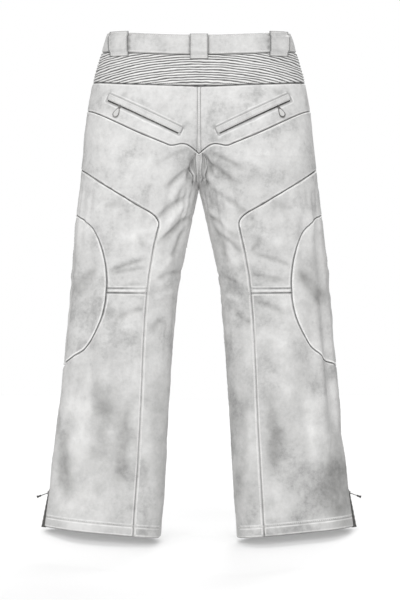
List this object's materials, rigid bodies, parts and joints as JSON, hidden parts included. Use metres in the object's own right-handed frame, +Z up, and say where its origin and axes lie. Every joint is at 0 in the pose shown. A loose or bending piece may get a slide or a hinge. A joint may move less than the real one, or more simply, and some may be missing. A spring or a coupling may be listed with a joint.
{
  "type": "ski pants",
  "caption": "Boot-cut leather-look ski pants with ribbed back yoke, slanted zip pockets, articulated knees, ankle zips, belt loops and inner snow gaiters.",
  "frame": {"origin": "middle of the waist opening, level with the top of the waistband at the side seams", "axes": "+Z up, +Y the way the wearer faces, so the back lies at -Y and the wearer's left leg at -X"},
  "size_m": [0.6802, 0.1801, 1.0602],
  "materials": {
    "shell_leather": "washed, mottled light grey, semi-matt",
    "ribbed_stretch": "fine raised ribs, semi-matt",
    "zip_tape": "woven tape with oxidised metal teeth",
    "zip_metal": "dark oxidised nickel",
    "lining_fabric": "plain woven lining",
    "elastic_band": "fabric-covered silicone gripper"
  },
  "bodies": {
    "pants": {"waistband": "shell_leather", "rib_panel_back": "ribbed_stretch", "back_yoke_left": "shell_leather", "back_seat_left": "shell_leather", "back_thigh_left": "shell_leather", "back_calf_left": "shell_leather", "knee_panel_left": "shell_leather", "front_thigh_left": "shell_leather", "front_shin_left": "shell_leather", "back_yoke_right": "shell_leather", "back_seat_right": "shell_leather", "back_thigh_right": "shell_leather", "back_calf_right": "shell_leather", "knee_panel_right": "shell_leather", "front_thigh_right": "shell_leather", "front_shin_right": "shell_leather", "belt_loop_back_centre": "shell_leather", "belt_loop_back_left": "shell_leather", "belt_loop_front_left": "shell_leather", "back_pocket_left_welt": "shell_leather", "front_pocket_left_welt": "shell_leather", "back_pocket_left_zip": "zip_tape", "ankle_left_zip": "zip_tape", "back_pocket_left_bag": "lining_fabric", "front_pocket_left_bag": "lining_fabric", "ankle_left_gusset": "lining_fabric", "snow_gaiter_left": "lining_fabric", "gaiter_elastic_left": "elastic_band", "belt_loop_back_right": "shell_leather", "belt_loop_front_right": "shell_leather", "back_pocket_right_welt": "shell_leather", "front_pocket_right_welt": "shell_leather", "back_pocket_right_zip": "zip_tape", "ankle_right_zip": "zip_tape", "back_pocket_right_bag": "lining_fabric", "front_pocket_right_bag": "lining_fabric", "ankle_right_gusset": "lining_fabric", "snow_gaiter_right": "lining_fabric", "gaiter_elastic_right": "elastic_band", "snap_stud": "zip_metal", "fly_zip": "zip_tape", "fly_placket": "lining_fabric"},
    "waist_tab": {"waist_tab": "shell_leather", "snap_cap": "zip_metal"},
    "fly_slider": {"fly_slider": "zip_metal"},
    "fly_pull": {"fly_pull": "zip_metal"},
    "back_pocket_left_slider": {"back_pocket_left_slider": "zip_metal"},
    "back_pocket_left_pull": {"back_pocket_left_pull": "zip_metal"},
    "ankle_left_slider": {"ankle_left_slider": "zip_metal"},
    "ankle_left_pull": {"ankle_left_pull": "zip_metal"},
    "back_pocket_right_slider": {"back_pocket_right_slider": "zip_metal"},
    "back_pocket_right_pull": {"back_pocket_right_pull": "zip_metal"},
    "ankle_right_slider": {"ankle_right_slider": "zip_metal"},
    "ankle_right_pull": {"ankle_right_pull": "zip_metal"}
  },
  "joints": [
    {"name": "back_pocket_left_zip_run", "type": "hinge", "parent": "pants", "child": "back_pocket_left_slider", "pos_m": [-0.0822, 0.15113, -0.18427], "axis": [0.4186, -0.0514, 0.9067], "range_deg": [-3.74, 28.43]},
    {"name": "back_pocket_left_pull_swing", "type": "hinge", "parent": "back_pocket_left_slider", "child": "back_pocket_left_pull", "pos_m": [-0.16405, -0.08461, -0.15984], "axis": [-0.8475, 0.3368, 0.4103], "range_deg": [0, 120]},
    {"name": "ankle_left_zip_run", "type": "slide", "parent": "pants", "child": "ankle_left_slider", "axis": [-0.1353, 0, -0.9908], "range_m": [0, 0.06]},
    {"name": "ankle_left_pull_swing", "type": "hinge", "parent": "ankle_left_slider", "child": "ankle_left_pull", "pos_m": [-0.31638, 0, -0.96588], "axis": [0, 1, 0], "range_deg": [-52, 95]},
    {"name": "back_pocket_right_zip_run", "type": "hinge", "parent": "pants", "child": "back_pocket_right_slider", "pos_m": [0.0822, 0.15113, -0.18426], "axis": [0.4186, 0.0514, -0.9067], "range_deg": [-3.74, 28.43]},
    {"name": "back_pocket_right_pull_swing", "type": "hinge", "parent": "back_pocket_right_slider", "child": "back_pocket_right_pull", "pos_m": [0.16405, -0.08461, -0.15984], "axis": [-0.8475, -0.3368, -0.4103], "range_deg": [0, 120]},
    {"name": "ankle_right_zip_run", "type": "slide", "parent": "pants", "child": "ankle_right_slider", "axis": [0.1353, 0, -0.9908], "range_m": [0, 0.06]},
    {"name": "ankle_right_pull_swing", "type": "hinge", "parent": "ankle_right_slider", "child": "ankle_right_pull", "pos_m": [0.31638, 0, -0.96588], "axis": [0, -1, 0], "range_deg": [-52, 95]},
    {"name": "fly_zip_run", "type": "slide", "parent": "pants", "child": "fly_slider", "axis": [0.0037, 0.0218, -0.9998], "range_m": [0, 0.128]},
    {"name": "fly_pull_swing", "type": "hinge", "parent": "fly_slider", "child": "fly_pull", "pos_m": [0.00003, 0.0735, -0.0873], "axis": [1, 0, 0.0037], "range_deg": [0, 140]},
    {"name": "waist_tab_open", "type": "hinge", "parent": "pants", "child": "waist_tab", "pos_m": [0.0345, 0.0696, -0.051], "axis": [0, 0, -1], "range_deg": [0, 60]}
  ]
}
